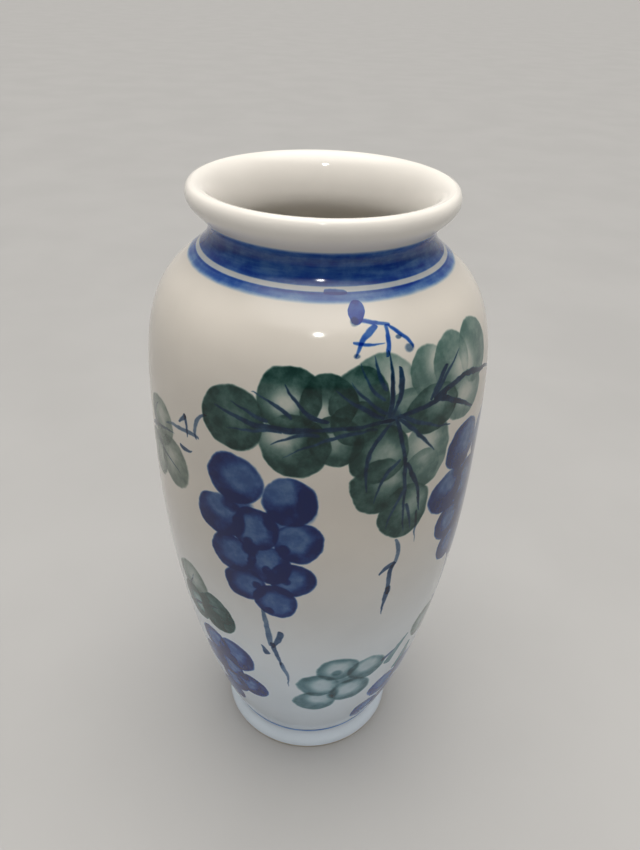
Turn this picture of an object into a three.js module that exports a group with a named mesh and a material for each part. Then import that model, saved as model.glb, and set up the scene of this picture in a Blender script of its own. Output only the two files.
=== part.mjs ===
// A thrown porcelain vase with a rolled lip, built as the clay sections it is
// made of and the coats of glaze fired onto them. Millimetres, +Z up, with the
// origin at the centre of the foot's resting face.
//
// Every section is a ring turned about the Z axis. Its profile is a stretch of
// the outside outline joined to the matching stretch of the inside outline.
// Neighbouring sections share the same joint line, so they fit face to face.

import * as THREE from "three";

// ---- Driving dimensions ---------------------------------------------------

const HEIGHT = 260; // foot to the crest of the lip
const GLAZE = 0.4; // glazed surface to clay, on every coat of glaze
const BOND = 0.03; // part of that left open, so glaze and clay never overlap
const SEGMENTS = 40; // facets around the axis

const BELLY_RADIUS = 64.2; // widest part of the body
const BELLY_HEIGHT = 157;
const SHOULDER_RADIUS = 52.3; // where the shoulder slopes in at 45 degrees
const SHOULDER_HEIGHT = 230.6;
const NECK_RADIUS = 39.2; // narrowest part outside, under the lip
const NECK_HEIGHT = 245.5;
const LIP_RADIUS = 46.2; // widest part of the rolled lip
const LIP_HEIGHT = 256.4;
const CREST_RADIUS = 43.8; // highest circle of the lip

const WALL = 4.8; // clay and glaze at the belly
const BASIN_RADIUS = 37.6; // where the inside floor turns up into the wall
const BASIN_HEIGHT = 29;
const INNER_SHOULDER_RADIUS = 48.6; // inside of the shoulder's slope
const INNER_SHOULDER_HEIGHT = 227.3;
const THROAT_RADIUS = 34.8; // narrowest part inside
const THROAT_HEIGHT = 244;

const FOOT_RADIUS = 41; // outside of the foot ring, at its widest
const WAIST_RADIUS = 38.7; // where the body springs from the foot ring
const WAIST_HEIGHT = 11;
const FLOOR_HEIGHT = 14.5; // inside floor of the vase, at its centre
const RECESS_RADIUS = 33.4; // hollow under the base, inside the foot ring
const RECESS_DEPTH = 7; // up to the glaze that lines it
const RECESS_FLARE = 0.4; // how much wider the recess gets towards its mouth
const CONTACT_INNER = 35.4; // bare ring that the vase rests on
const CONTACT_OUTER = 40.2;
const FOOT_EDGE = 1; // height of the eased edges of that ring
const INNER_EDGE = 0.9; // width of the inner one
const BARE_HEIGHT = 1.6; // the glaze is wiped off the foot below this

// How far the foot ring has drawn in from its widest, at each height going up.
const FOOT_TAPER = [
  { inset: 0.1, height: BARE_HEIGHT },
  { inset: 0.5, height: 4.5 },
  { inset: 1.9, height: 8 },
];

// ---- Outlines ---------------------------------------------------------------

// One point that a smooth outline passes through. The lean is the direction of
// travel there, in degrees from straight up and positive away from the axis.
// The pulls are the lengths of the curve's handles before and after the point.
function knot(radius, height, lean, pullBefore, pullAfter) {
  const angle = THREE.MathUtils.degToRad(lean);
  const travel = new THREE.Vector2(Math.sin(angle), Math.cos(angle));
  const point = new THREE.Vector2(radius, height);
  return {
    point,
    before: point.clone().addScaledVector(travel, -pullBefore),
    after: point.clone().addScaledVector(travel, pullAfter),
  };
}

// An outline is a list of cubic curves, each running from one knot to the next.
function outline(...knots) {
  return knots.slice(1).map((end, i) => {
    const start = knots[i];
    return new THREE.CubicBezierCurve(
      start.point,
      start.after,
      end.before,
      end.point,
    );
  });
}

// Glazed surface seen from outside, from the waist up to the crest of the lip.
const outside = outline(
  knot(WAIST_RADIUS, WAIST_HEIGHT, 26.5, 0, 21),
  knot(BELLY_RADIUS, BELLY_HEIGHT, 0, 66, 38),
  knot(SHOULDER_RADIUS, SHOULDER_HEIGHT, -45, 17.5, 9.5),
  knot(NECK_RADIUS, NECK_HEIGHT, 0, 6, 3.5),
  knot(LIP_RADIUS, LIP_HEIGHT, 0, 4, 2),
  knot(CREST_RADIUS, HEIGHT, -90, 1.3, 0),
);

// Glazed surface seen from inside, from the floor's centre up to the same crest.
const inside = outline(
  knot(0, FLOOR_HEIGHT, 90, 0, 22),
  knot(BASIN_RADIUS, BASIN_HEIGHT, 24, 10, 16),
  knot(BELLY_RADIUS - WALL, BELLY_HEIGHT, 0, 62, 36),
  knot(INNER_SHOULDER_RADIUS, INNER_SHOULDER_HEIGHT, -45, 16, 9),
  knot(THROAT_RADIUS, THROAT_HEIGHT, 0, 6.5, 6),
  knot(CREST_RADIUS, HEIGHT, 90, 5, 0),
);

// A point of an outline, moved sideways. Positions count curves, so 1.5 is half
// way along the second curve. A positive shift is away from the vase's axis.
function pointAt(curves, position, shift) {
  const index = Math.min(Math.floor(position), curves.length - 1);
  const t = position - index;
  const travel = curves[index].getTangent(t);
  const sideways = new THREE.Vector2(travel.y, -travel.x);
  return curves[index].getPoint(t).addScaledVector(sideways, shift);
}

// The points of a stretch of an outline, both ends included.
function pointsAlong(curves, [from, to, steps], shift) {
  return Array.from({ length: steps + 1 }, (_, i) =>
    pointAt(curves, THREE.MathUtils.lerp(from, to, i / steps), shift),
  );
}

// Each clay section as its stretch of the two outlines: the position where it
// starts, the position where it ends, and the number of steps between them.
const FLOOR_STRETCH = { outside: [0, 0.2, 1], inside: [0, 1, 4] };
const WALL_STRETCHES = {
  lower_body: { outside: [0.2, 0.6, 3], inside: [1, 1.56, 3] },
  belly: { outside: [0.6, 1.5, 5], inside: [1.56, 2.5, 5] },
  shoulder: { outside: [1.5, 2.5, 5], inside: [2.5, 3.5, 5] },
  neck: { outside: [2.5, 3.4, 3], inside: [3.5, 4.35, 3] },
  mouth_rim: { outside: [3.4, 5, 7], inside: [4.35, 5, 4] },
};
const ALL_STRETCHES = [FLOOR_STRETCH, ...Object.values(WALL_STRETCHES)];

// The whole of one outline, sampled just where the clay sections sample it, so
// the facets of the glaze lie parallel to those of the clay.
function wholeOutline(curves, side, shift) {
  const runs = ALL_STRETCHES.map((stretch) =>
    pointsAlong(curves, stretch[side], shift),
  );
  return runs.flatMap((run, i) => (i === 0 ? run : run.slice(1)));
}

// ---- Foot -------------------------------------------------------------------

const point = (radius, height) => new THREE.Vector2(radius, height);

// Outside of the foot ring, from the bare edge up to just under the waist. The
// shift moves it away from the axis.
const footOutsideAt = (shift) =>
  FOOT_TAPER.map(({ inset, height }) =>
    point(FOOT_RADIUS - inset + shift, height),
  );

// Inside of the foot ring, from the corner of the recess down. The shift moves
// it into the clay.
const footInsideAt = (shift) => [
  point(RECESS_RADIUS + shift, RECESS_DEPTH + shift),
  point(RECESS_RADIUS + shift + RECESS_FLARE, BARE_HEIGHT),
];

// ---- Solids -----------------------------------------------------------------

const clay = { color: 0xb9aa95, roughness: 0.85, metalness: 0 };
const whiteGlaze = { color: 0xd6d3cb, roughness: 0.12, metalness: 0 };

// Turns a profile about the Z axis. The profile runs anticlockwise, with the
// radius to the right and the height upwards, and ends where it starts or has
// both ends on the axis.
function turned(name, profile, material) {
  const geometry = new THREE.LatheGeometry(profile, SEGMENTS);
  geometry.rotateX(Math.PI / 2);
  const mesh = new THREE.Mesh(
    geometry,
    new THREE.MeshStandardMaterial(material),
  );
  mesh.name = name;
  return mesh;
}

function closed(profile) {
  return [...profile, profile[0]];
}

// Puts the first point exactly on the axis, clear of any rounding.
function onAxis(profile) {
  return [point(0, profile[0].y), ...profile.slice(1)];
}

function wallSection(name) {
  const stretch = WALL_STRETCHES[name];
  const outer = pointsAlong(outside, stretch.outside, -GLAZE);
  const inner = pointsAlong(inside, stretch.inside, GLAZE);
  return turned(name, closed([...outer, ...inner.reverse()]), clay);
}

// The disc that closes the bottom, from the recess under it to the wall's root.
function baseFloor() {
  const outer = pointsAlong(outside, FLOOR_STRETCH.outside, -GLAZE);
  const inner = onAxis(pointsAlong(inside, FLOOR_STRETCH.inside, GLAZE));
  const corner = footInsideAt(GLAZE)[0];
  const underside = [point(0, corner.y), corner];
  const profile = [...underside, ...outer, ...inner.reverse()];
  return turned("base_floor", profile, clay);
}

function footRing() {
  const waist = pointAt(outside, 0, -GLAZE);
  const profile = [
    point(CONTACT_INNER, 0),
    point(CONTACT_OUTER, 0),
    point(FOOT_RADIUS - GLAZE, FOOT_EDGE),
    ...footOutsideAt(-GLAZE),
    waist,
    ...footInsideAt(GLAZE),
    point(CONTACT_INNER - INNER_EDGE, FOOT_EDGE),
  ];
  return turned("foot_ring", closed(profile), clay);
}

function outerGlaze() {
  const face = (shift) => [
    ...footOutsideAt(shift),
    ...wholeOutline(outside, "outside", shift),
  ];
  const profile = closed([...face(0), ...face(BOND - GLAZE).reverse()]);
  return turned("outer_glaze", profile, whiteGlaze);
}

function innerGlaze() {
  const face = (shift) => onAxis(wholeOutline(inside, "inside", shift));
  const profile = [...face(GLAZE - BOND), ...face(0).reverse()];
  return turned("inner_glaze", profile, whiteGlaze);
}

function baseGlaze() {
  const face = (shift) => [
    point(0, RECESS_DEPTH + shift),
    ...footInsideAt(shift),
  ];
  const profile = [...face(0), ...face(GLAZE - BOND).reverse()];
  return turned("base_glaze", profile, whiteGlaze);
}

// ---- Assembly ---------------------------------------------------------------

const vase = new THREE.Group();
vase.name = "porcelain_vase";
vase.add(footRing(), baseFloor());
for (const name of Object.keys(WALL_STRETCHES)) {
  vase.add(wallSection(name));
}
vase.add(outerGlaze(), innerGlaze(), baseGlaze());

export default vase;
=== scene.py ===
"""A porcelain vase painted with vine leaves and grapes, standing on a pale floor.

Its surfaces are turned about the Z axis from the same outlines as the CAD part. The underglaze painting
is laid on in the material, one brush mark at a time, at places measured over the surface of the wall.
Directions round the vase run from the front (-Y) towards +X.
"""

import math
from dataclasses import dataclass

import bpy
import numpy as np
from mathutils import Matrix, Vector


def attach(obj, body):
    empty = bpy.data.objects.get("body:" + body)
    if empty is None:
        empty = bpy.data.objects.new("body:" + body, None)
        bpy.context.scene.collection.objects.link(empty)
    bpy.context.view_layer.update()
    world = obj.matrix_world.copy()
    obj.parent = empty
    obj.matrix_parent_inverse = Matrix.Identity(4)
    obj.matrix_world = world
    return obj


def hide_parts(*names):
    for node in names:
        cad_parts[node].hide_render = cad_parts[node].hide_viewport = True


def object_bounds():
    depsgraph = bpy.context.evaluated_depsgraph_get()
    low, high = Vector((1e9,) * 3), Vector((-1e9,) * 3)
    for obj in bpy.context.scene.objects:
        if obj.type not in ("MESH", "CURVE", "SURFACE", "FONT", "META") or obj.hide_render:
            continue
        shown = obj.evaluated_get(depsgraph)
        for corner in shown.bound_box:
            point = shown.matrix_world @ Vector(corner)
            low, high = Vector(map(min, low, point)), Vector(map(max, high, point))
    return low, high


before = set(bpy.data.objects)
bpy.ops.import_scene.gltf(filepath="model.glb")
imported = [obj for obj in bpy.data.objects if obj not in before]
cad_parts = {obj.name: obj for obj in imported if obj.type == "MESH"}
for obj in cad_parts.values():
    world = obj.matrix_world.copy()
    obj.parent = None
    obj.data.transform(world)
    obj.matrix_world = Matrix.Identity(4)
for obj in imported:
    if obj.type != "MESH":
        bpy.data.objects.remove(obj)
cad_low, cad_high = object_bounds()

MM = 0.001

# ---- Driving dimensions, in millimetres ------------------------------------------------------------

HEIGHT = cad_high.z / MM  # foot to the crest of the lip
GLAZE = 0.4  # glazed surface to clay
BOND = 0.03  # part of that left open between the two

BELLY_RADIUS = 64.2  # widest part of the body
BELLY_HEIGHT = 157
SHOULDER_RADIUS = 52.3  # where the shoulder slopes in at 45 degrees
SHOULDER_HEIGHT = 230.6
NECK_RADIUS = 39.2  # narrowest part outside, under the lip
NECK_HEIGHT = 245.5
LIP_RADIUS = 46.2  # widest part of the rolled lip
LIP_HEIGHT = 256.4
CREST_RADIUS = 43.8  # highest circle of the lip

WALL = 4.8  # clay and glaze at the belly
BASIN_RADIUS = 37.6  # where the inside floor turns up into the wall
BASIN_HEIGHT = 29
INNER_SHOULDER_RADIUS = 48.6  # inside of the shoulder's slope
INNER_SHOULDER_HEIGHT = 227.3
THROAT_RADIUS = 34.8  # narrowest part inside
THROAT_HEIGHT = 244

FOOT_RADIUS = 41  # outside of the foot ring, at its widest
WAIST_RADIUS = 38.7  # where the body springs from the foot ring
WAIST_HEIGHT = 11
FLOOR_HEIGHT = 14.5  # inside floor of the vase, at its centre
RECESS_RADIUS = 33.4  # hollow under the base, inside the foot ring
RECESS_DEPTH = 7  # up to the glaze that lines it
RECESS_FLARE = 0.4  # how much wider the recess gets towards its mouth
CONTACT_INNER = 35.4  # bare ring that the vase rests on
CONTACT_OUTER = 40.2
FOOT_EDGE = 1  # height of the eased edges of that ring
INNER_EDGE = 0.9  # width of the inner one
BARE_HEIGHT = 1.6  # the glaze is wiped off the foot below this

# ---- Outlines --------------------------------------------------------------------------------------

ON_AXIS = 1e-6  # a point with less radius than this is on the vase's axis


def knot(radius, height, lean, pull_before, pull_after):
    """A point of an outline, with its curve handles. The lean is in degrees from straight up."""
    angle = math.radians(lean)
    travel = np.array([math.sin(angle), math.cos(angle)])
    point = np.array([radius, height], float)
    return point, point - travel * pull_before, point + travel * pull_after


def curve(first, last, t):
    """Points of the cubic curve between two knots, at these shares of the way along it."""
    (start, _, leaving), (end, arriving, _) = first, last
    t = t[:, None]
    near_start = (1 - t) ** 3 * start + 3 * (1 - t) ** 2 * t * leaving
    near_end = 3 * (1 - t) * t**2 * arriving + t**3 * end
    return near_start + near_end


def sampled(knots, spacing):
    """Points along the cubic curves through the knots, about this far apart."""
    runs = []
    for first, last in zip(knots[:-1], knots[1:]):
        steps = max(4, round(math.dist(first[0], last[0]) / spacing))
        run = curve(first, last, np.linspace(0, 1, steps + 1))
        runs.append(run if not runs else run[1:])
    return np.vstack(runs)


def offset(points, distance):
    """The outline moved sideways. A positive distance is to the right of its direction of travel."""
    travel = np.gradient(points, axis=0)
    travel /= np.linalg.norm(travel, axis=1)[:, None]
    sideways = np.column_stack([travel[:, 1], -travel[:, 0]])
    moved = points + sideways * distance
    moved[points[:, 0] < ON_AXIS, 0] = 0
    return moved


OUTSIDE_KNOTS = (
    knot(WAIST_RADIUS, WAIST_HEIGHT, 26.5, 0, 21),
    knot(BELLY_RADIUS, BELLY_HEIGHT, 0, 66, 38),
    knot(SHOULDER_RADIUS, SHOULDER_HEIGHT, -45, 17.5, 9.5),
    knot(NECK_RADIUS, NECK_HEIGHT, 0, 6, 3.5),
    knot(LIP_RADIUS, LIP_HEIGHT, 0, 4, 2),
    knot(CREST_RADIUS, HEIGHT, -90, 1.3, 0),
)
INSIDE_KNOTS = (
    knot(0, FLOOR_HEIGHT, 90, 0, 22),
    knot(BASIN_RADIUS, BASIN_HEIGHT, 24, 10, 16),
    knot(BELLY_RADIUS - WALL, BELLY_HEIGHT, 0, 62, 36),
    knot(INNER_SHOULDER_RADIUS, INNER_SHOULDER_HEIGHT, -45, 16, 9),
    knot(THROAT_RADIUS, THROAT_HEIGHT, 0, 6.5, 6),
    knot(CREST_RADIUS, HEIGHT, 90, 5, 0),
)

# How far the foot ring has drawn in from its widest, at each height going up to the waist.
FOOT_TAPER = ((0.1, BARE_HEIGHT), (0.2, 3), (0.5, 4.5), (1.1, 6), (1.9, 8), (2.4, 9.6))
FOOT_OUTSIDE = np.array([(FOOT_RADIUS - inset, height) for inset, height in FOOT_TAPER])

FINE = 1.5  # spacing of the points along a glazed surface
COARSE = 3.0  # and along the surfaces hidden in the wall
OUTSIDE = sampled(OUTSIDE_KNOTS, FINE)
INSIDE = sampled(INSIDE_KNOTS, FINE)
BELOW_NECK = OUTSIDE[: int(np.argmin(np.abs(OUTSIDE[:, 1] - NECK_HEIGHT))) + 1]


def radius_at(height):
    """Outside radius of the wall at a height below the neck's waist."""
    return float(np.interp(height, BELOW_NECK[:, 1], BELOW_NECK[:, 0]))


def lean_at(height):
    """Unit direction up the wall, as radius and height."""
    reach = 0.5  # millimetres above and below
    rise = np.array([radius_at(height + reach) - radius_at(height - reach), 2 * reach])
    return rise / np.linalg.norm(rise)


# ---- Turned meshes ---------------------------------------------------------------------------------

SHARP_ANGLE = math.radians(40)
FINE_STEPS = 64  # steps along each curve before a stretch of it is spaced evenly


def turned(name, profile, segments):
    """A body turned about Z. The profile runs anticlockwise with the radius to the right."""
    profile = np.asarray(profile, float) * MM
    turns = np.arange(segments) * 2 * math.pi / segments
    around = np.column_stack([np.sin(turns), -np.cos(turns)])
    vertices, rings = [], []
    for radius, height in profile:
        first = len(vertices)
        if radius < ON_AXIS * MM:
            vertices.append((0.0, 0.0, height))
            rings.append([first] * segments)
        else:
            vertices += [(radius * x, radius * y, height) for x, y in around]
            rings.append(list(range(first, first + segments)))
    pairs = list(zip(rings, rings[1:]))
    starts_on_axis = profile[0][0] < ON_AXIS * MM
    if not starts_on_axis:
        pairs.append((rings[-1], rings[0]))
    faces = []
    for low, high in pairs:
        for i in range(segments):
            j = (i + 1) % segments
            corners = (low[i], low[j], high[j], high[i])
            faces.append(tuple(dict.fromkeys(corners)))
    mesh = bpy.data.meshes.new(name)
    mesh.from_pydata(vertices, [], faces)
    mesh.polygons.foreach_set("use_smooth", [True] * len(faces))
    mesh.set_sharp_from_angle(angle=SHARP_ANGLE)
    body = bpy.data.objects.new(name, mesh)
    bpy.context.scene.collection.objects.link(body)
    return body


def stretch(knots, start, end, spacing, shift):
    """Part of an outline. The ends count curves, so 1.5 is half way along the second curve."""
    runs = []
    for index in range(len(knots) - 1):
        low, high = max(start - index, 0), min(end - index, 1)
        if low >= high:
            continue
        run = curve(knots[index], knots[index + 1], np.linspace(low, high, FINE_STEPS + 1))
        runs.append(run if not runs else run[1:])
    run = offset(np.vstack(runs), shift)
    walked = np.concatenate([[0], np.cumsum(np.linalg.norm(np.diff(run, axis=0), axis=1))])
    stops = np.linspace(0, walked[-1], max(2, round(walked[-1] / spacing)) + 1)
    return np.column_stack([np.interp(stops, walked, run[:, axis]) for axis in (0, 1)])


# ---- Brush marks -----------------------------------------------------------------------------------

# Paint is kept as its depth: how often the light is cut by a factor of e on its way through. This
# is the deepest that it gets for red light, however often a place is gone over.
DEEPEST = 6.2
POOLING = 0.9  # share of a dab's radius past its pale middle where it is fully pooled

# How strongly each pigment takes red, green and blue out of the light.
COBALT = (1.0, 0.67, 0.30)
BRIGHT_COBALT = (1.0, 0.60, 0.17)
INK = (1.0, 0.74, 0.48)
NAVY = (1.0, 0.70, 0.49)
GREEN = (1.0, 0.68, 0.69)
OLIVE = (1.0, 0.80, 0.86)
TEAL = (1.0, 0.64, 0.58)


@dataclass(frozen=True)
class Brush:
    """A pigment and its depth: in the pale part of a dab or all over a stroke, and where it pools."""

    pigment: tuple
    pale: float
    pooled: float
    soft: float = 0.1  # share of a dab's radius over which its edge fades
    piling: float = 1.0  # share of its depth that it adds to paint already there
    flat: float = 0.1  # share of a dab's radius before its pale part starts to darken
    covers: bool = False  # whether a stroke hides the paint under it


GRAPE = Brush(COBALT, 2.8, 6.0, soft=0.12, piling=0.45, flat=0.42)
GRAPE_SPOT = Brush(COBALT, 3.4, 3.4, soft=0.5)
FAR_GRAPE = Brush(COBALT, 2.2, 4.2, soft=0.16, piling=0.5, flat=0.3)
LEAF = Brush(GREEN, 1.1, 3.5, soft=0.08, piling=0.15)
RING_LEAF = Brush(GREEN, 0.4, 3.8, soft=0.08, piling=0.15)
DARK_LEAF = Brush(GREEN, 2.6, 4.0, soft=0.08, piling=0.15)
LIGHT_LEAF = Brush(GREEN, 0.35, 1.9, soft=0.08, piling=0.2)
PALE_LEAF = Brush(OLIVE, 0.7, 1.7, soft=0.12, piling=0.4)
UNRIPE = Brush(TEAL, 0.5, 2.4, soft=0.16, piling=0.6, flat=0.3)
UNRIPE_SPOT = Brush(TEAL, 1.7, 1.7, soft=0.6)
SPOT = Brush(INK, 1.8, 2.0, soft=0.6)
VEIN = Brush(NAVY, 4.9, 4.9, covers=True)
THIN_VEIN = Brush(NAVY, 4.3, 4.3, covers=True)
LINE = Brush(BRIGHT_COBALT, 3.3, 3.3)
BUD = Brush(BRIGHT_COBALT, 4.6, 4.6)
TWIG = Brush(INK, 3.1, 3.1)
FAINT_TWIG = Brush(INK, 2.1, 2.1)


@dataclass(frozen=True)
class Place:
    """Where a part of the painting goes: turned round the vase, raised, or painted the other way."""

    turn: float = 0
    rise: float = 0
    mirrored: bool = False

    def moved(self, across, height):
        """The distance round and the height that these become in this place."""
        return (-across if self.mirrored else across), height + self.rise


FRONT = Place()


@dataclass(frozen=True)
class Mark:
    """One brush mark, in its own frame on the wall."""

    brush: Brush
    location: Vector
    rotation: tuple
    scale: tuple
    angles: tuple  # lowest and highest angle that it may reach, in degrees
    heights: tuple  # lowest and highest height, in millimetres
    pale_spot: tuple = None  # middle of a dab's pale part, as shares of its size
    bow: float = 0  # a stroke's sideways bulge, in millimetres
    half_width: float = 0
    taper: float = 0  # share of its width that it loses from its middle to its end


THICKNESS = 50 * MM  # reach of a mark's frame in front of and behind the surface
STROKE_EDGE = 0.6  # width of a stroke's soft edge, in millimetres
STROKE_TIP = 0.16  # how bluntly a stroke ends: nearer 0 is blunter
DAB_MARGIN = 3  # how far past its size a dab may reach as its edge wavers, in millimetres
STROKE_MARGIN = 1.5


def on_wall(across, height, turn):
    """A point of the wall, with the directions round it, up it and out of it."""
    radius = radius_at(height)
    angle = math.radians(turn) + across / radius
    out_step, up_step = lean_at(height)
    around = Vector((math.cos(angle), math.sin(angle), 0))
    outward = Vector((math.sin(angle), -math.cos(angle), 0))
    up = outward * out_step + Vector((0, 0, up_step))
    point = (outward * radius + Vector((0, 0, height))) * MM
    return point, around, up, around.cross(up)


def angle_of(across, height, turn):
    """Angle round the vase of a place on the wall, in degrees from the front."""
    return turn + math.degrees(across / radius_at(height))


def euler(x_axis, y_axis, z_axis):
    """The rotation that turns the world's axes into these."""
    return tuple(Matrix((x_axis, y_axis, z_axis)).transposed().to_euler("XYZ"))


def dab(brush, across, height, half_width, half_height, pale=(0, 0), place=FRONT):
    """A press of the brush, as wide and as high as it looks from the side of the vase."""
    across, height = place.moved(across, height)
    if place.mirrored:
        pale = (-pale[0], pale[1])
    point, around, up, out = on_wall(across, height, place.turn)
    reach = max(half_width, half_height) + DAB_MARGIN
    middle = angle_of(across, height, place.turn)
    spread = math.degrees(reach / radius_at(height))
    return Mark(
        brush,
        point,
        euler(around, up, out),
        (half_width * MM, half_height * MM / lean_at(height)[1], THICKNESS),
        (middle - spread, middle + spread),
        (height - reach, height + reach),
        pale_spot=pale,
    )


def stroke(brush, start, end, width, bow=0, taper=0.4, place=FRONT):
    """A tapering stroke from start to end, each a distance round and a height."""
    start, end = place.moved(*start), place.moved(*end)
    if place.mirrored:
        bow = -bow
    middle = ((start[0] + end[0]) / 2, (start[1] + end[1]) / 2)
    first, last = on_wall(*start, place.turn)[0], on_wall(*end, place.turn)[0]
    out = on_wall(*middle, place.turn)[3]
    along = (last - first).normalized()
    sideways = out.cross(along).normalized()
    angles = [angle_of(*tip, place.turn) for tip in (start, end)]
    reach = abs(bow) + width + STROKE_MARGIN
    spread = math.degrees(reach / radius_at(middle[1]))
    return Mark(
        brush,
        (first + last) / 2,
        euler(along, sideways, along.cross(sideways)),
        ((last - first).length / 2, MM, THICKNESS),
        (min(angles) - spread, max(angles) + spread),
        (min(start[1], end[1]) - reach, max(start[1], end[1]) + reach),
        bow=bow,
        half_width=width / 2 + STROKE_EDGE / 2,
        taper=taper,
    )


# ---- The painting ----------------------------------------------------------------------------------

# Each function yields the marks of one thing in the painting. Places are distances round the wall
# from the middle of the front, positive to the right, and heights, all in millimetres.

FULLER = 1.06  # how much fuller the grapes are laid than they show, as their edges are soft


def grape_bunch(place=FRONT):
    """Ten grapes hanging in a bunch, with the dark spots between them."""
    grapes = (
        (-26.5, 178, 10.2, 9.8, (0.25, 0.15)),
        (-7.5, 173, 9.2, 10, (-0.35, 0.4)),
        (-33, 160.5, 10, 9.2, (0.1, 0.5)),
        (-19.5, 158.5, 8.6, 9.4, (-0.05, 0)),
        (-4.5, 155.5, 8.4, 9.4, (-0.2, 0.15)),
        (-28.5, 144.5, 9, 8.3, (0.15, 0.1)),
        (-14.5, 143, 8.4, 9, (-0.1, 0.3)),
        (-6.2, 137, 8.6, 8.2, (-0.1, 0)),
        (-24, 130.3, 8.4, 8.6, (0.15, 0)),
        (-12.3, 124.5, 8.3, 8.9, (0.1, -0.1)),
    )
    shades = (
        (-1.5, 172, 3.8, 8.4),
        (-26, 168, 7, 5.4),
        (-13, 164, 4.4, 5),
        (-21.5, 149, 4, 4),
    )
    spots = ((-15.3, 140.5), (-8.4, 136.3), (-19.6, 131.5), (-14.6, 118.6), (-9, 151.5), (-22.5, 153))
    for across, height, half_width, half_height, pale in grapes:
        yield dab(GRAPE, across, height, half_width * FULLER, half_height * FULLER, pale, place)
    for shade in shades:
        yield dab(GRAPE_SPOT, *shade, place=place)
    for spot in spots:
        yield dab(GRAPE_SPOT, *spot, 2.3, 2.4, place=place)


def bunch_stem(place=FRONT):
    """Stalk under a bunch, with a twig and a stray mark."""
    yield stroke(FAINT_TWIG, (-17.8, 119), (-14.2, 95), 2.2, bow=0.5, taper=-0.1, place=place)
    yield stroke(TWIG, (-13.6, 98), (-10.4, 82), 1.9, bow=-0.2, place=place)
    yield stroke(FAINT_TWIG, (-10.9, 85), (-7.2, 65), 1.4, bow=0.8, taper=0.5, place=place)
    yield stroke(TWIG, (-13.4, 94), (-10.2, 106.5), 2.2, bow=-0.3, taper=-0.2, place=place)
    yield stroke(TWIG, (-18.6, 94.5), (-15.6, 88.6), 1.9, taper=-0.4, place=place)


def left_leaf(place=FRONT):
    """Vine leaf of six dabs, reaching left from the middle of the spray."""
    yield dab(DARK_LEAF, -26.6, 201, 11.6, 11.8, (0.1, 0.2), place=place)
    yield dab(RING_LEAF, -8, 210.6, 10.8, 10.6, (-0.1, -0.1), place=place)
    yield dab(RING_LEAF, 4, 209.6, 9.6, 9.8, (-0.15, -0.3), place=place)
    yield dab(RING_LEAF, -6, 195, 12, 11.6, (-0.4, 0.25), place=place)
    yield dab(LEAF, 7, 197, 9.4, 9.4, (-0.1, 0.1), place=place)
    yield dab(LEAF, 13, 203, 8, 8, (0, 0), place=place)
    yield stroke(VEIN, (27, 203.5), (-4, 200.8), 1.4, bow=0.6, taper=0.2, place=place)
    yield stroke(VEIN, (0, 201), (-33, 204), 1.8, bow=2, taper=0.3, place=place)
    yield stroke(THIN_VEIN, (-14, 202.5), (-27, 207), 1.0, bow=0.4, place=place)
    yield stroke(THIN_VEIN, (-10, 199.5), (-29, 197), 1.0, bow=-0.6, place=place)
    yield stroke(THIN_VEIN, (-7, 204.5), (-20, 211.5), 1.0, bow=-1, place=place)
    yield stroke(VEIN, (5, 203.5), (-9, 215.6), 1.3, bow=2.6, place=place)
    yield stroke(THIN_VEIN, (20, 200.5), (-10, 190.5), 1.0, bow=-2.6, place=place)
    yield stroke(THIN_VEIN, (2, 199.5), (-14, 194.5), 1.0, bow=-1.6, place=place)


def right_leaf(place=FRONT):
    """Broad vine leaf of overlapping dabs round the middle of the spray."""
    yield dab(LIGHT_LEAF, 21.5, 212.4, 12.4, 12, (0.35, 0.2), place=place)
    yield dab(LEAF, 14, 210.5, 10, 10.6, (-0.2, 0.1), place=place)
    yield dab(LIGHT_LEAF, 37.5, 215.4, 7.6, 9.2, (0.4, 0.4), place=place)
    yield dab(LIGHT_LEAF, 48, 215.5, 9.2, 10.4, (0.5, -0.3), place=place)
    yield dab(LIGHT_LEAF, 62, 215, 10.4, 11, (-0.6, -0.2), place=place)
    yield dab(LIGHT_LEAF, 30, 205, 8, 8, (0, 0), place=place)
    yield dab(LEAF, 41, 203, 12, 9, (0.2, 0.3), place=place)
    yield dab(LIGHT_LEAF, 57, 202, 12, 8.6, (0, 0.1), place=place)
    yield dab(LIGHT_LEAF, 39.6, 187, 10.8, 14.6, (-0.1, 0.3), place=place)
    yield dab(LIGHT_LEAF, 38, 180.6, 8.4, 8.6, (0.2, 0.2), place=place)
    yield dab(LEAF, 21.5, 191, 10.6, 11.6, (0.15, -0.05), place=place)
    yield dab(LEAF, 22, 178.4, 10, 11.6, (0.35, 0.2), place=place)
    yield dab(LEAF, 33, 165, 10.8, 12, (0.35, 0.2), place=place)


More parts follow.
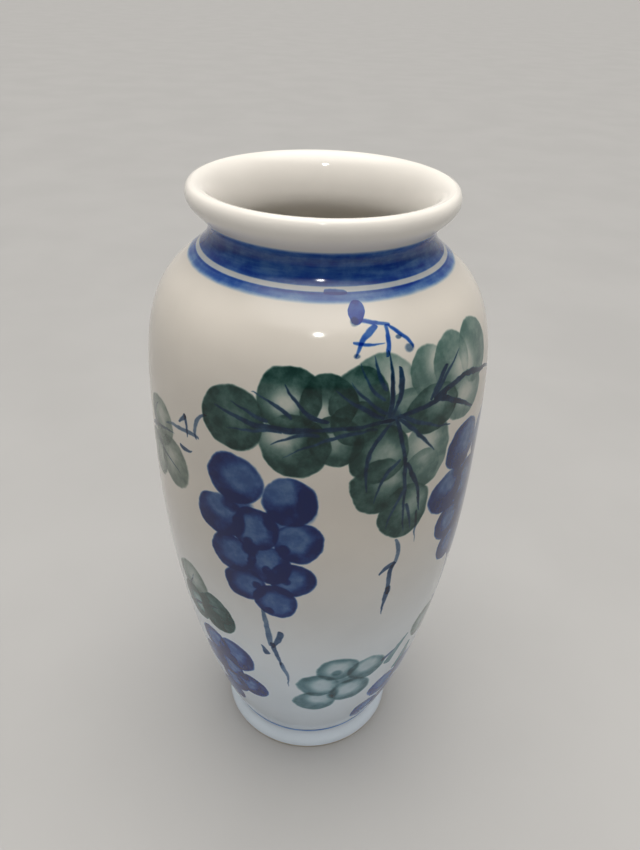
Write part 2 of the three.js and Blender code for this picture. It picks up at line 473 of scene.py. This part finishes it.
def right_leaf_veins(place=FRONT):
    """Veins that spread from the middle of the right leaf."""
    yield dab(SPOT, 24.5, 203.8, 4.4, 4, place=place)
    yield stroke(VEIN, (22, 204), (6, 214.5), 1.3, bow=0.8, place=place)
    yield stroke(THIN_VEIN, (23, 205.5), (10, 217), 1.0, bow=1.2, place=place)
    yield stroke(THIN_VEIN, (22, 210), (13, 221), 1.0, bow=1.6, place=place)
    yield stroke(THIN_VEIN, (22.5, 213), (17.5, 223.2), 1.2, bow=1, place=place)
    yield stroke(VEIN, (23.5, 204), (22.5, 224), 1.3, bow=-1, place=place)
    yield stroke(VEIN, (24.5, 204), (26.5, 219.5), 1.5, bow=-1.2, taper=-0.2, place=place)
    yield stroke(VEIN, (24, 203.8), (46, 206.5), 1.7, bow=-1, taper=-0.1, place=place)
    yield stroke(VEIN, (40, 206.3), (62, 209), 1.9, bow=1, taper=0.4, place=place)
    yield stroke(VEIN, (56, 209), (82, 202), 1.5, bow=0.6, place=place)
    yield stroke(VEIN, (38.5, 206), (45.5, 216), 1.7, bow=0.5, taper=-0.1, place=place)
    yield stroke(THIN_VEIN, (40, 207), (52, 218.5), 1.0, bow=0.6, place=place)
    yield stroke(VEIN, (40, 206.5), (64, 195), 1.8, bow=1, place=place)
    yield stroke(THIN_VEIN, (27, 204.5), (50, 194), 1.1, bow=-1.4, place=place)
    yield stroke(THIN_VEIN, (27, 203), (43, 186), 1.2, bow=0.8, place=place)
    yield stroke(VEIN, (25.5, 204), (31.5, 182), 1.5, bow=0.6, taper=0.1, place=place)
    yield stroke(VEIN, (31, 188), (33.5, 155.5), 1.2, bow=-0.6, taper=0.4, place=place)
    yield stroke(VEIN, (24, 202), (17.6, 177), 1.3, bow=-3.4, taper=0.2, place=place)
    yield stroke(THIN_VEIN, (28.5, 188), (21, 171.5), 1.1, bow=-1.8, place=place)
    yield stroke(VEIN, (31.5, 186), (40, 162), 1.3, bow=0.8, place=place)
    yield stroke(THIN_VEIN, (31.5, 175), (26.5, 158.5), 1.0, bow=-1, place=place)
    yield stroke(THIN_VEIN, (33, 168), (36.5, 155.5), 1.0, bow=0.6, place=place)
    yield stroke(FAINT_TWIG, (38.8, 163), (39, 147.5), 0.8, place=place)


def bud(place=FRONT):
    """Small blue bud with crooked tendrils, above the leaves."""
    yield dab(BUD, 11.4, 233.6, 2.7, 2.6, place=place)
    yield dab(SPOT, 11, 231.8, 1.8, 1.3, place=place)
    yield stroke(LINE, (10, 231.6), (22, 230.2), 1.1, bow=0.7, taper=-0.1, place=place)
    yield stroke(LINE, (20, 230.6), (30.6, 223.8), 1.0, bow=0.9, taper=-0.1, place=place)
    yield dab(SPOT, 29.2, 223.9, 2, 1.1, place=place)
    yield dab(SPOT, 25.8, 227, 1.4, 0.8, place=place)
    yield stroke(LINE, (17.6, 230.8), (11.4, 222.8), 1.5, bow=-0.8, place=place)
    yield dab(SPOT, 11.8, 223.2, 1.2, 0.9, place=place)
    yield stroke(LINE, (20.2, 230.4), (22, 222.4), 1.4, bow=1.2, taper=-0.1, place=place)
    yield stroke(LINE, (10.4, 226.8), (21.4, 226.2), 0.7, bow=-0.4, place=place)


def line_overlap():
    """Where the line under the neck meets its own start and lies twice as thick."""
    yield stroke(LINE, (1.6, 238.1), (8.6, 237.7), 1.7, bow=0.2, taper=0.2)


def hanging_twig(place=FRONT):
    """Crooked twig below the right leaf."""
    yield stroke(FAINT_TWIG, (31, 153), (30.6, 138), 1.8, bow=1.6, taper=0, place=place)
    yield stroke(TWIG, (32, 141), (25.6, 136.6), 1.9, bow=-0.4, taper=0.3, place=place)
    yield stroke(TWIG, (31, 140), (30, 124), 2.1, bow=-0.6, taper=0.1, place=place)
    yield stroke(TWIG, (30.2, 129), (28.6, 112.5), 1.7, bow=-0.3, taper=0.6, place=place)


def left_tendril(place=FRONT):
    """Curling tendril from the left leaf to the next one."""
    yield stroke(FAINT_TWIG, (-36.6, 199), (-42, 187.6), 1.4, bow=-2.4, taper=0, place=place)
    yield stroke(FAINT_TWIG, (-40.6, 188.8), (-60, 185.6), 1.4, bow=-1.2, taper=0.2, place=place)
    yield stroke(TWIG, (-46.4, 194.4), (-50.4, 190.6), 1.4, place=place)
    yield stroke(TWIG, (-47.4, 194.6), (-46.6, 186.6), 1.2, bow=0.8, place=place)
    yield stroke(TWIG, (-51, 181.2), (-44.6, 181.8), 1.4, bow=-0.8, place=place)


def side_leaf(place=FRONT):
    """Pale leaf of three round dabs with thin veins, far to the left."""
    yield dab(PALE_LEAF, -65, 184, 10.4, 10.2, (0.1, 0.3), place=place)
    yield dab(PALE_LEAF, -57, 171, 10.2, 10.4, (-0.1, 0.1), place=place)
    yield dab(PALE_LEAF, -71, 167, 9, 10, (0.2, 0), place=place)
    yield stroke(FAINT_TWIG, (-78, 176), (-54, 184), 1.2, bow=1, place=place)
    yield stroke(FAINT_TWIG, (-76, 175), (-52, 168), 1.0, bow=1, place=place)
    yield stroke(FAINT_TWIG, (-74, 176), (-66, 191), 0.9, bow=1, place=place)


def low_leaf(place=FRONT):
    """Leaf of three dabs, low on the wall."""
    yield dab(PALE_LEAF, -53, 113, 10, 10, (0.1, 0.2), place=place)
    yield dab(DARK_LEAF, -39.6, 101.6, 9.8, 11.4, (0, 0.5), place=place)
    yield dab(LEAF, -53, 99, 9, 10, (0.2, 0), place=place)
    yield stroke(FAINT_TWIG, (-60, 92), (-38, 106), 1.2, bow=1.2, place=place)
    yield stroke(FAINT_TWIG, (-58, 96), (-52, 117), 1.0, bow=0.8, place=place)


def low_bunch(place=FRONT):
    """Smaller bunch of grapes near the foot."""
    grapes = (
        (-31.5, 76.5, 9.6, 11, (-0.2, 0.2)),
        (-43, 78, 8.6, 9.4, (0, 0.1)),
        (-37, 64, 8.4, 9, (0.2, 0)),
        (-25.5, 55, 8.6, 9.4, (-0.3, 0.1)),
        (-45, 62, 8, 9, (0, 0.1)),
        (-34.6, 50, 8, 9, (0, 0.2)),
        (-37, 37, 7, 8, (0, 0.1)),
    )
    for across, height, half_width, half_height, pale in grapes:
        yield dab(GRAPE, across, height, half_width, half_height, pale, place=place)
    yield dab(GRAPE_SPOT, -33.5, 72, 3, 4, place=place)
    yield dab(GRAPE_SPOT, -28.4, 60, 3, 4, place=place)


def unripe_bunch(place=FRONT):
    """Five pale green grapes near the foot."""
    yield dab(UNRIPE, 12.8, 79.4, 9.8, 9.2, (0, 0.1), place=place)
    yield dab(UNRIPE, 5, 67, 9.4, 9.8, (0.2, 0), place=place)
    yield dab(UNRIPE, 3.8, 52.4, 9.8, 9.4, (0.2, 0.3), place=place)
    yield dab(UNRIPE, 19, 59.4, 9.8, 10.4, (-0.1, 0.1), place=place)
    yield dab(UNRIPE, 26, 74.8, 9.2, 9, (0, 0.3), place=place)
    yield dab(UNRIPE_SPOT, 12.6, 77, 3.2, 3, place=place)
    yield dab(UNRIPE_SPOT, 17, 69, 6.4, 3.6, place=place)
    yield dab(UNRIPE_SPOT, 11.4, 58.6, 3, 5.4, place=place)


def low_spray(place=FRONT):
    """Faint leaf, stalks and grapes on the right, low down."""
    yield dab(PALE_LEAF, 57, 86, 8.4, 9.6, place=place)
    yield stroke(FAINT_TWIG, (33, 76), (40, 80), 2.3, place=place)
    yield stroke(UNRIPE_SPOT, (36, 70), (47, 86), 4, bow=1, place=place)
    yield stroke(UNRIPE_SPOT, (43, 58), (50, 76), 5, bow=-1, place=place)
    yield dab(FAR_GRAPE, 37.4, 48, 8.6, 10, (0.1, 0.2), place=place)
    yield dab(FAR_GRAPE, 50, 56, 8, 9, (0.1, 0.2), place=place)
    yield dab(FAR_GRAPE, 29.2, 28, 7.6, 10, (0.1, 0.1), place=place)
    yield dab(FAR_GRAPE, 43, 33, 7.6, 9, (0.1, 0.1), place=place)


def painting():
    """Every brush mark: the front, the bunch on its right, and the back painted the other way."""
    spray = (left_leaf, right_leaf, right_leaf_veins, bud)
    hanging = (grape_bunch, bunch_stem, hanging_twig)
    low = (low_leaf, low_bunch, unripe_bunch, low_spray)
    for part in (*spray, line_overlap, *hanging, left_tendril, side_leaf, *low):
        yield from part()
    for part in (grape_bunch, bunch_stem):
        yield from part(Place(turn=78, rise=3))
    for part in (*spray, *hanging, *low):
        yield from part(Place(turn=214, rise=-5, mirrored=True))


# ---- Shader nodes ----------------------------------------------------------------------------------


def feed(tree, socket, value):
    """Gives an input its value: another node's output, or a constant."""
    if isinstance(value, bpy.types.NodeSocket):
        tree.links.new(value, socket)
    else:
        socket.default_value = value


def node(tree, kind, inputs=None, **settings):
    """A new node with these inputs, by name or number, and these settings."""
    made = tree.nodes.new(kind)
    for name, value in settings.items():
        setattr(made, name, value)
    for name, value in (inputs or {}).items():
        feed(tree, made.inputs[name], value)
    return made


def scalar(tree, operation, *values, clamp=False):
    """The result of this operation on numbers."""
    inputs = dict(enumerate(values))
    return node(tree, "ShaderNodeMath", inputs, operation=operation, use_clamp=clamp).outputs[0]


def vector(tree, operation, *values):
    """The result of this operation on vectors. A plain number stands for three alike."""
    made = node(tree, "ShaderNodeVectorMath", operation=operation)
    for index, value in enumerate(values):
        if isinstance(value, float | int):
            value = (value, value, value)
        feed(tree, made.inputs[index], value)
    gives_number = operation in ("LENGTH", "DISTANCE", "DOT_PRODUCT")
    return made.outputs["Value" if gives_number else "Vector"]


def fade(tree, value, start, end, low=0.0, high=1.0):
    """Eases from low to high as the value goes from start to end."""
    inputs = {"Value": value, "From Min": start, "From Max": end, "To Min": low, "To Max": high}
    made = node(tree, "ShaderNodeMapRange", inputs, interpolation_type="SMOOTHSTEP")
    return made.outputs["Result"]


def noise(tree, place, size, detail=2.0, roughness=0.5, output="Fac"):
    """Soft noise whose lumps are about this many millimetres across."""
    inputs = {"Vector": place, "Scale": 1 / (size * MM), "Detail": detail, "Roughness": roughness}
    return node(tree, "ShaderNodeTexNoise", inputs).outputs[output]


def uneven(tree, place, size, detail, low, high, roughness=0.5):
    """Drifts between low and high in soft patches about this many millimetres across."""
    return fade(tree, noise(tree, place, size, detail, roughness), 0.3, 0.7, low, high)


def separated(tree, value):
    """The three parts of a vector, by the names of their axes."""
    return node(tree, "ShaderNodeSeparateXYZ", {0: value}).outputs


def mixed(tree, factor, first, second):
    """Colour between first and second."""
    colour_a, colour_b, result = 6, 7, 2  # the node has these sockets again for other types
    made = node(tree, "ShaderNodeMix", data_type="RGBA")
    feed(tree, made.inputs["Factor"], factor)
    feed(tree, made.inputs[colour_a], first)
    feed(tree, made.inputs[colour_b], second)
    return made.outputs[result]


def own_frame(tree, place, mark):
    """The place in the mark's own frame, where 1 is a dab's edge or a stroke's end."""
    inputs = {
        "Vector": place,
        "Location": mark.location,
        "Rotation": mark.rotation,
        "Scale": mark.scale,
    }
    return node(tree, "ShaderNodeMapping", inputs, vector_type="TEXTURE").outputs[0]


def dab_depth(tree, place, mark):
    """How thick the pigment of a dab is: pale in its middle, pooled round its edge."""
    local = own_frame(tree, place, mark)
    reach = vector(tree, "LENGTH", local)
    from_pale = vector(tree, "DISTANCE", local, (*mark.pale_spot, 0))
    inside = fade(tree, reach, 1.0, 1.0 - mark.brush.soft)
    thickness = fade(tree, from_pale, mark.brush.flat, POOLING, mark.brush.pale, mark.brush.pooled)
    return scalar(tree, "MULTIPLY", inside, thickness)


def stroke_depth(tree, place, mark):
    """How thick the pigment of a bowed, tapering stroke is."""
    local = separated(tree, own_frame(tree, place, mark))
    along, sideways = local["X"], local["Y"]
    squared = scalar(tree, "MULTIPLY", along, along)
    arc = scalar(tree, "SUBTRACT", 1.0, squared, clamp=True)
    off_centre = scalar(tree, "MULTIPLY_ADD", arc, -mark.bow, sideways)
    blunt = scalar(tree, "POWER", arc, STROKE_TIP)
    narrowing = scalar(tree, "MULTIPLY_ADD", along, -mark.taper * mark.half_width, mark.half_width)
    half_width = scalar(tree, "MULTIPLY", blunt, narrowing)
    distance = scalar(tree, "ABSOLUTE", off_centre)
    clearance = scalar(tree, "SUBTRACT", half_width, distance)
    return fade(tree, clearance, 0.0, STROKE_EDGE, 0.0, mark.brush.pale)


def piled(tree, paint, depth, brush):
    """Paint with a dab over it. Of the thinner of the two, only a share adds to the thicker."""
    laid = vector(tree, "MULTIPLY", depth, brush.pigment)
    thicker = vector(tree, "MAXIMUM", paint, laid)
    thinner = vector(tree, "MINIMUM", paint, laid)
    return vector(tree, "MULTIPLY_ADD", thinner, brush.piling, thicker)


def covered(tree, paint, depth, brush):
    """Paint that gives way to the stroke laid over it."""
    full = Vector(brush.pigment) * brush.pale
    change = vector(tree, "SUBTRACT", full, paint)
    coverage = scalar(tree, "MULTIPLY", depth, 1 / brush.pale)
    return vector(tree, "MULTIPLY_ADD", coverage, change, paint)


# ---- Glaze -----------------------------------------------------------------------------------------

# The outside's white is set dimmer than the inside's, as painted shade on the outer wall.
WARM_WHITE = (0.665, 0.627, 0.57, 1)
PAINTED_COOL_LIGHT = (0.80, 0.90, 1.0, 1)  # painted light: the bluish light on the wall near the foot, put into the glaze's white
COOL_LIGHT_HEIGHTS = (170 * MM, 40 * MM)  # heights between which the one turns into the other
INSIDE_WHITE = (0.86, 0.83, 0.78, 1)  # inside, and over the lip: the same glaze, set lighter as painted light
LIP_LIGHT_HEIGHTS = (246 * MM, 255 * MM)  # heights between which the lip turns to that lighter white, as painted light
SPECK_BROWN = (0.16, 0.09, 0.05, 1)
SPECK_SPACING = 17 * MM
SPECK_RADIUS = 0.022  # of the largest specks, as a share of their spacing
SPECKLESS = 0.72  # share of the places for a speck that stay empty
WAVER = 3.2 * MM  # width of the band in which the edge of a brush mark strays
STREAK_STRETCH = 9  # how much longer the bands' streaks are than high
GLAZE_IOR = 1.4


@dataclass(frozen=True)
class Band:
    """A painted line round the vase, between two heights in millimetres."""

    low: float
    high: float
    depth: float
    soft_low: float = 0.5  # width of its soft lower edge
    soft_high: float = 0.5


BANDS = (
    Band(239.0, 249.4, 3.6, soft_low=0.4, soft_high=1.6),  # broad band round the neck
    Band(237.6, 239.4, 0.25),  # tint in the white gap
    Band(235.2, 238.1, 2.8, soft_low=1.4, soft_high=0.4),  # line below it
    Band(237.2, 238.1, 1.2, soft_high=0.3),  # that line's darker top edge
    Band(9.9, 12.7, 2.1, soft_low=0.9, soft_high=0.9),  # line above the foot
)


def paint_bands(tree, place, paint, bands):
    """Adds the lines round the neck and foot, streaked where the brush went round."""
    height = scalar(tree, "MULTIPLY", separated(tree, place)["Z"], 1 / MM)
    stretched = vector(tree, "MULTIPLY", place, (1, 1, STREAK_STRETCH))
    streaks = uneven(tree, stretched, 14, 3, 0.75, 1.2)
    for band in bands:
        above = fade(tree, height, band.low, band.low + band.soft_low)
        below = fade(tree, height, band.high, band.high - band.soft_high)
        inside = scalar(tree, "MULTIPLY", above, below)
        depth = scalar(tree, "MULTIPLY", inside, scalar(tree, "MULTIPLY", streaks, band.depth))
        paint = vector(tree, "MULTIPLY_ADD", depth, BRIGHT_COBALT, paint)
    return paint


def painted(tree, place, marks, bands):
    """Depth of the paint for red, green and blue, with every mark laid on in turn."""
    ripple = noise(tree, place, 10, 3, output="Color")
    shift = vector(tree, "MULTIPLY", vector(tree, "SUBTRACT", ripple, 0.5), WAVER)
    brushed = vector(tree, "ADD", place, shift)
    paint = vector(tree, "ADD", (0, 0, 0), (0, 0, 0))  # a node that starts with no paint
    for mark in marks:
        depth = (dab_depth if mark.pale_spot else stroke_depth)(tree, brushed, mark)
        if mark.brush.covers:
            paint = covered(tree, paint, depth, mark.brush)
        elif mark.brush.piling == 1:
            paint = vector(tree, "MULTIPLY_ADD", depth, mark.brush.pigment, paint)
        else:
            paint = piled(tree, paint, depth, mark.brush)
    if bands:
        paint = paint_bands(tree, place, paint, bands)
    wash = uneven(tree, place, 5, 4, 0.76, 1.16, roughness=0.6)
    return vector(tree, "MULTIPLY", paint, wash)


def let_through(tree, paint):
    """Share of red, green and blue light that comes back through paint of this depth."""
    deepest = separated(tree, paint)["X"]
    allowed = scalar(tree, "DIVIDE", DEEPEST, scalar(tree, "MAXIMUM", deepest, DEEPEST))
    depths = separated(tree, vector(tree, "MULTIPLY", paint, allowed))
    shares = [scalar(tree, "POWER", math.exp(-1), depths[axis]) for axis in "XYZ"]
    return node(tree, "ShaderNodeCombineXYZ", dict(enumerate(shares))).outputs[0]


def white_under_glaze(tree, place, upper_white, lower_white):
    """Colour of the unpainted vase: bluer near the foot as painted cool light, cloudy, with a few brown
    specks.
    """
    height = separated(tree, place)["Z"]
    # Painted light: the white turns bluish towards the foot.
    white = mixed(tree, fade(tree, height, *COOL_LIGHT_HEIGHTS), upper_white, lower_white)
    # Painted light: the lip is lighter than the wall below it.
    white = mixed(tree, fade(tree, height, *LIP_LIGHT_HEIGHTS), white, INSIDE_WHITE)
    clouds = fade(tree, noise(tree, place, 45, 3), 0.25, 0.75, 0.94, 1.03)
    white = vector(tree, "MULTIPLY", white, clouds)
    cells = node(tree, "ShaderNodeTexVoronoi", {"Vector": place, "Scale": 1 / SPECK_SPACING})
    chosen = node(tree, "ShaderNodeSeparateColor", {0: cells.outputs["Color"]}).outputs[0]
    speck_radius = fade(tree, chosen, SPECKLESS, 1.0, 0.0, SPECK_RADIUS)
    speck = fade(tree, cells.outputs["Distance"], speck_radius, 0.0)
    return mixed(tree, speck, white, SPECK_BROWN)


def glaze_relief(tree, place):
    """Slow waves and fine pits in the glaze."""
    waves = noise(tree, place, 16, 1)
    pits = noise(tree, place, 1.1, 2)
    relief = scalar(tree, "MULTIPLY_ADD", pits, 0.05, waves)
    inputs = {"Height": relief, "Strength": 0.25, "Distance": 0.35 * MM}
    return node(tree, "ShaderNodeBump", inputs).outputs[0]


def glaze(name, marks=(), bands=(), upper_white=WARM_WHITE, lower_white=PAINTED_COOL_LIGHT):
    """Glossy white glaze with the painting under it."""
    material = bpy.data.materials.new(name)
    material.use_nodes = True
    tree = material.node_tree
    tree.nodes.clear()
    place = node(tree, "ShaderNodeTexCoord").outputs["Object"]
    tint = let_through(tree, painted(tree, place, marks, bands))
    white = white_under_glaze(tree, place, upper_white, lower_white)
    inputs = {
        "Base Color": vector(tree, "MULTIPLY", white, tint),
        "Roughness": uneven(tree, place, 30, 3, 0.06, 0.13),
        "Normal": glaze_relief(tree, place),
        "IOR": GLAZE_IOR,
    }
    surface = node(tree, "ShaderNodeBsdfPrincipled", inputs)
    output = node(tree, "ShaderNodeOutputMaterial")
    tree.links.new(surface.outputs[0], output.inputs["Surface"])
    return material


# ---- Bare clay -------------------------------------------------------------------------------------

BISCUIT_COLOUR = (0.62, 0.55, 0.45)  # the bare foot, warmer than the clay inside the wall
BISCUIT_ROUGHNESS = (0.72, 0.86)
CLAY_COLOUR = (0.66, 0.61, 0.53)
CLAY_ROUGHNESS = (0.77, 0.91)


def bare_clay(name, colour, roughness):
    """Fired clay without glaze: uneven, with dark grains and a sandy surface."""
    material = bpy.data.materials.new(name)
    material.use_nodes = True
    tree = material.node_tree
    surface = tree.nodes["Principled BSDF"]
    place = node(tree, "ShaderNodeTexCoord").outputs["Object"]
    tone = uneven(tree, place, 6, 5, 0.8, 1.08)
    grains = fade(tree, noise(tree, place, 0.8, 2), 0.66, 0.78, 1.0, 0.6)
    shade = scalar(tree, "MULTIPLY", tone, grains)
    feed(tree, surface.inputs["Base Color"], vector(tree, "MULTIPLY", colour, shade))
    feed(tree, surface.inputs["Roughness"], uneven(tree, place, 3, 3, *roughness))
    sand = noise(tree, place, 0.5, 3)
    bump = node(tree, "ShaderNodeBump", {"Height": sand, "Strength": 0.4, "Distance": 0.15 * MM})
    feed(tree, surface.inputs["Normal"], bump.outputs[0])
    return material


# ---- Painted tiles ---------------------------------------------------------------------------------

# The wall is cut into tiles, each with a material that holds only the marks that reach it, so that
# a point of the surface never works through the whole painting.
SECTORS = 12
LEVELS = (0, 30, 60, 92, 122, 150, 178, 206, 230, 262)  # heights, the last above the lip


def overlaps(mark, sector, level):
    """Whether a mark may reach a tile."""
    low, high = mark.heights
    if high < LEVELS[level] or low > LEVELS[level + 1]:
        return False
    width = 360 / SECTORS
    middle = (sector + 0.5) * width
    first, last = mark.angles
    gap = abs(((first + last) / 2 - middle + 180) % 360 - 180)
    return gap < (last - first + width) / 2


def tile_of(centre):
    """Sector and level of a face's centre, which is in metres."""
    angle = math.degrees(math.atan2(centre.x, -centre.y)) % 360
    sector = int(angle * SECTORS / 360) % SECTORS
    level = int(np.searchsorted(LEVELS, centre.z / MM, side="right")) - 1
    return sector, level


def paint_tiles(body, marks):
    """Gives every face of the wall the material of its tile."""
    tiles = {}
    for polygon in body.data.polygons:
        tile = tile_of(polygon.center)
        if tile not in tiles:
            sector, level = tile
            low, high = LEVELS[level], LEVELS[level + 1]
            held = [mark for mark in marks if overlaps(mark, sector, level)]
            bands = [band for band in BANDS if band.high > low and band.low < high]
            tiles[tile] = len(body.data.materials)
            body.data.materials.append(glaze(f"painted_glaze_{sector}_{level}", held, bands))
        polygon.material_index = tiles[tile]


# ---- Pieces ----------------------------------------------------------------------------------------

GLAZE_SEGMENTS = 288
CLAY_SEGMENTS = 144
SOFTENING = 0.3  # width of the small slopes that soften the foot's edges
SOFTENING_HEIGHT = 0.25
FILLET = 1  # size of the rounded corner at the top of the recess
WAIST_STRETCH = 0.01  # end of the short stretch whose first point is the clay's waist


def add_piece(body, cad_node):
    """Ties a piece to the vase's body, in place of its CAD node."""
    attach(body, "root")
    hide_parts(cad_node)


def outer_glaze():
    outside = np.vstack([FOOT_OUTSIDE, OUTSIDE])
    back = np.vstack([FOOT_OUTSIDE, sampled(OUTSIDE_KNOTS, COARSE)])
    profile = np.vstack([outside, offset(back, BOND - GLAZE)[::-1]])
    body = turned("glaze_outside", profile, GLAZE_SEGMENTS)
    paint_tiles(body, tuple(painting()))
    add_piece(body, "outer_glaze")


def inner_glaze():
    back = offset(sampled(INSIDE_KNOTS, COARSE), GLAZE - BOND)
    profile = np.vstack([back, INSIDE[::-1]])
    body = turned("glaze_inside", profile, GLAZE_SEGMENTS // 2)
    material = glaze("inside_glaze", upper_white=INSIDE_WHITE, lower_white=INSIDE_WHITE)
    body.data.materials.append(material)
    add_piece(body, "inner_glaze")


def base_glaze():
    def face(shift):
        corner = RECESS_RADIUS + shift
        top = RECESS_DEPTH + shift
        return [
            (0, top),
            (corner / 2, top),
            (corner - FILLET, top),
            (corner - SOFTENING, top - SOFTENING),
            (corner, top - FILLET),
            (corner + RECESS_FLARE, BARE_HEIGHT),
        ]

    body = turned("glaze_base", face(0) + face(GLAZE - BOND)[::-1], CLAY_SEGMENTS)
    body.data.materials.append(glaze("base_glaze"))
    add_piece(body, "base_glaze")


def foot_ring(material):
    waist = stretch(OUTSIDE_KNOTS, 0, WAIST_STRETCH, FINE, -GLAZE)[0]
    profile = [
        (CONTACT_INNER, 0),
        (CONTACT_OUTER, 0),
        (CONTACT_OUTER + SOFTENING, SOFTENING_HEIGHT),
        (FOOT_RADIUS - GLAZE, FOOT_EDGE),
        *offset(FOOT_OUTSIDE, -GLAZE)[:-1],
        waist,
        (RECESS_RADIUS + GLAZE, RECESS_DEPTH + GLAZE),
        (RECESS_RADIUS + GLAZE + RECESS_FLARE, BARE_HEIGHT),
        (CONTACT_INNER - INNER_EDGE, FOOT_EDGE),
        (CONTACT_INNER - SOFTENING, SOFTENING_HEIGHT),
    ]
    body = turned("clay_foot", profile, CLAY_SEGMENTS)
    body.data.materials.append(material)
    add_piece(body, "foot_ring")


# Each section of the clay as its stretch of the outside and of the inside outline.
FLOOR_SECTION = ((0, 0.2), (0, 1))
WALL_SECTIONS = {
    "lower_body": ((0.2, 0.6), (1, 1.56)),
    "belly": ((0.6, 1.5), (1.56, 2.5)),
    "shoulder": ((1.5, 2.5), (2.5, 3.5)),
    "neck": ((2.5, 3.4), (3.5, 4.35)),
    "mouth_rim": ((3.4, 5), (4.35, 5)),
}


def clay_faces(outer_part, inner_part):
    """Outside and inside face of a section of the clay, both from the bottom up."""
    outer = stretch(OUTSIDE_KNOTS, *outer_part, COARSE, -GLAZE)
    inner = stretch(INSIDE_KNOTS, *inner_part, COARSE, GLAZE)
    return outer, inner


def clay_floor(material):
    outer, inner = clay_faces(*FLOOR_SECTION)
    inner[0, 0] = 0  # exactly on the axis
    top = RECESS_DEPTH + GLAZE
    profile = np.vstack([[(0, top), (RECESS_RADIUS + GLAZE, top)], outer, inner[::-1]])
    body = turned("clay_floor", profile, CLAY_SEGMENTS)
    body.data.materials.append(material)
    add_piece(body, "base_floor")


def clay_section(name, material):
    outer, inner = clay_faces(*WALL_SECTIONS[name])
    body = turned(f"clay_{name}", np.vstack([outer, inner[::-1]]), CLAY_SEGMENTS)
    body.data.materials.append(material)
    add_piece(body, name)


# ---- Stage -----------------------------------------------------------------------------------------

CAMERA_PLACE = Vector((1.7, -240, 319.5)) * MM
CAMERA_TILT = math.radians(56.7)  # up from looking straight down
CAMERA_ROLL = math.radians(2.13)
LENS = 29.65
SENSOR_WIDTH = 36
FLOOR_SIZE = 30.0  # metres
FLOOR_COLOUR = (0.37, 0.37, 0.37)
FLOOR_ROUGHNESS = 0.6
FRONT_DIM = (0.04, 0.042, 0.046, 1)  # light from the side that the front faces
BACK_PALE = (0.42, 0.41, 0.40, 1)  # and from the side behind it
FRONT_TO_BACK = (-0.5, 0.9)  # Y of the directions between which the one turns into the other
OVERHEAD = (4.9, 4.72, 4.45, 1)
RISE_TO_OVERHEAD = (0.74, 1.0)  # Z of the directions between which the light grows to that
LAMP_PLACE = Vector((0, -0.95, 1.5))  # metres
LAMP_SIZE = 0.1
LAMP_POWER = 3.5
LAMP_COLOUR = (1.0, 0.98, 0.95)


def add_floor():
    half = FLOOR_SIZE / 2
    mesh = bpy.data.meshes.new("floor")
    corners = [(-half, -half, 0), (half, -half, 0), (half, half, 0), (-half, half, 0)]
    mesh.from_pydata(corners, [], [(0, 1, 2, 3)])
    floor = bpy.data.objects.new("floor", mesh)
    bpy.context.scene.collection.objects.link(floor)
    material = bpy.data.materials.new("floor")
    material.use_nodes = True
    tree = material.node_tree
    surface = tree.nodes["Principled BSDF"]
    place = node(tree, "ShaderNodeTexCoord").outputs["Object"]
    tone = uneven(tree, place, 120, 3, 0.97, 1.02)
    feed(tree, surface.inputs["Base Color"], vector(tree, "MULTIPLY", FLOOR_COLOUR, tone))
    surface.inputs["Roughness"].default_value = FLOOR_ROUGHNESS
    mesh.materials.append(material)


def add_lamp():
    """Small square light that faces the middle of the vase, for its highlights."""
    light = bpy.data.lights.new("lamp", "AREA")
    light.size = LAMP_SIZE
    light.energy = LAMP_POWER
    light.color = LAMP_COLOUR
    lamp = bpy.data.objects.new("lamp", light)
    lamp.location = LAMP_PLACE
    middle = Vector((0, 0, HEIGHT / 2 * MM))
    lamp.rotation_euler = (middle - LAMP_PLACE).to_track_quat("-Z", "Y").to_euler()
    bpy.context.scene.collection.objects.link(lamp)


def add_world():
    """Soft light, strongest from overhead and dimmest from the side that the front faces."""
    world = bpy.data.worlds.new("studio")
    world.use_nodes = True
    bpy.context.scene.world = world
    tree = world.node_tree
    axes = separated(tree, node(tree, "ShaderNodeTexCoord").outputs["Generated"])
    horizon = mixed(tree, fade(tree, axes["Y"], *FRONT_TO_BACK), FRONT_DIM, BACK_PALE)
    sky = mixed(tree, fade(tree, axes["Z"], *RISE_TO_OVERHEAD), horizon, OVERHEAD)
    feed(tree, tree.nodes["Background"].inputs["Color"], sky)
    tree.nodes["Background"].inputs["Strength"].default_value = 1.0


def add_camera():
    data = bpy.data.cameras.new("camera")
    data.sensor_width = SENSOR_WIDTH
    data.lens = LENS
    camera = bpy.data.objects.new("camera", data)
    tilt = Matrix.Rotation(CAMERA_TILT, 4, "X")
    roll = Matrix.Rotation(CAMERA_ROLL, 4, "Z")
    camera.matrix_world = Matrix.Translation(CAMERA_PLACE) @ tilt @ roll
    bpy.context.scene.collection.objects.link(camera)
    bpy.context.scene.camera = camera


def build():
    biscuit = bare_clay("biscuit", BISCUIT_COLOUR, BISCUIT_ROUGHNESS)
    clay_body = bare_clay("clay_body", CLAY_COLOUR, CLAY_ROUGHNESS)
    outer_glaze()
    inner_glaze()
    base_glaze()
    foot_ring(biscuit)
    clay_floor(clay_body)
    for name in WALL_SECTIONS:
        clay_section(name, clay_body)
    add_floor()
    add_world()
    add_lamp()
    add_camera()
    bpy.context.scene.view_settings.view_transform = "Standard"


build()
